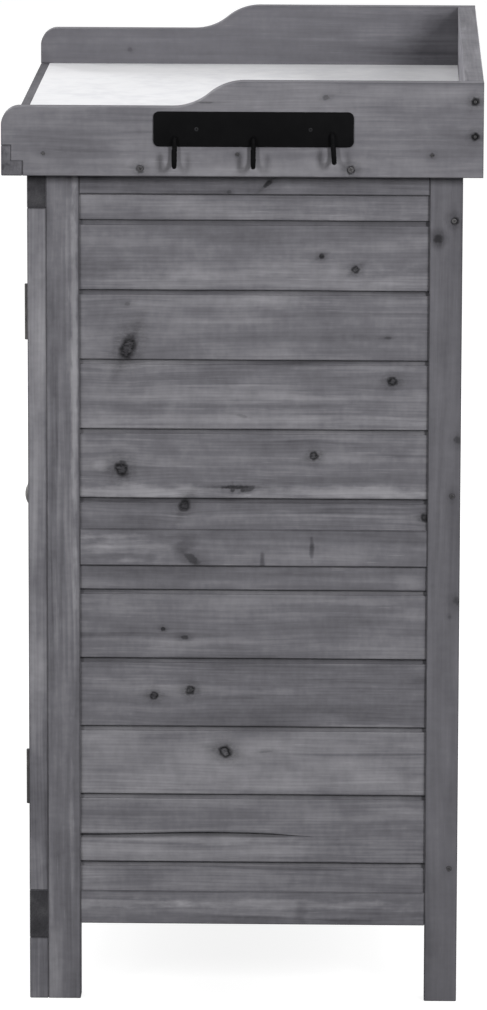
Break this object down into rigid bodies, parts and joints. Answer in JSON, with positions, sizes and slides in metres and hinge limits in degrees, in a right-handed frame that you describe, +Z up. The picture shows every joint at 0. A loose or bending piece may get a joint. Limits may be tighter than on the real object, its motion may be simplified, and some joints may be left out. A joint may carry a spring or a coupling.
{
  "type": "potting bench",
  "caption": "Free-standing wooden potting bench: a cupboard with hinged doors under a metal-lined tray with stepped end boards, a back board and a hook strip on one end.",
  "frame": {"origin": "on the floor, at the middle of the box round the bench and its hooks", "axes": "+Z up, -Y towards the doors, +X towards the end that has the hook strip"},
  "size_m": [0.8066, 0.508, 1],
  "materials": {
    "grey_wood": "matte",
    "metal_sheet": "satin",
    "black_metal": "satin",
    "dark_metal": "satin",
    "screw_metal": "satin",
    "catch_plastic": "matte"
  },
  "bodies": {
    "cabinet": {"back_bottom_rail": "grey_wood", "back_left_stile": "grey_wood", "back_mid_rail": "grey_wood", "back_right_stile": "grey_wood", "back_slats": "grey_wood", "back_top_rail": "grey_wood", "board_cleats": "grey_wood", "cabinet_screws": "screw_metal", "deck_boards": "grey_wood", "door_catch": "catch_plastic", "floor_boards": "grey_wood", "front_bottom_rail": "grey_wood", "front_left_foot": "grey_wood", "front_left_stile": "grey_wood", "front_right_foot": "grey_wood", "front_right_stile": "grey_wood", "front_top_rail": "grey_wood", "hinge_frame_leaves": "dark_metal", "hinge_pins": "dark_metal", "hook_plate": "black_metal", "hook_screws": "black_metal", "hooks": "black_metal", "left_bottom_rail": "grey_wood", "left_end_slats": "grey_wood", "left_front_post": "grey_wood", "left_mid_rail": "grey_wood", "left_rear_post": "grey_wood", "left_top_rail": "grey_wood", "metal_top": "metal_sheet", "right_bottom_rail": "grey_wood", "right_end_slats": "grey_wood", "right_front_post": "grey_wood", "right_mid_rail": "grey_wood", "right_rear_post": "grey_wood", "right_top_rail": "grey_wood", "shelf_boards": "grey_wood", "tray_back_board": "grey_wood", "tray_front_rail": "grey_wood", "tray_left_end": "grey_wood", "tray_right_end": "grey_wood"},
    "right_door": {"right_door_bottom_rail": "grey_wood", "right_door_hinge_leaves": "dark_metal", "right_door_hinge_stile": "grey_wood", "right_door_knob": "dark_metal", "right_door_lock_stile": "grey_wood", "right_door_mid_rail": "grey_wood", "right_door_screws": "screw_metal", "right_door_slats": "grey_wood", "right_door_strike": "screw_metal", "right_door_top_rail": "grey_wood"},
    "left_door": {"left_door_bottom_rail": "grey_wood", "left_door_hinge_leaves": "dark_metal", "left_door_hinge_stile": "grey_wood", "left_door_knob": "dark_metal", "left_door_lock_stile": "grey_wood", "left_door_mid_rail": "grey_wood", "left_door_screws": "screw_metal", "left_door_slats": "grey_wood", "left_door_strike": "screw_metal", "left_door_top_rail": "grey_wood"}
  },
  "joints": [
    {"name": "right_door_hinge", "type": "hinge", "parent": "cabinet", "child": "right_door", "pos_m": [0.31555, -0.2308, 0.49125], "axis": [0, 0, 1], "range_deg": [0, 165]},
    {"name": "left_door_hinge", "type": "hinge", "parent": "cabinet", "child": "left_door", "pos_m": [-0.34205, -0.2308, 0.49125], "axis": [0, 0, -1], "range_deg": [0, 165]}
  ]
}
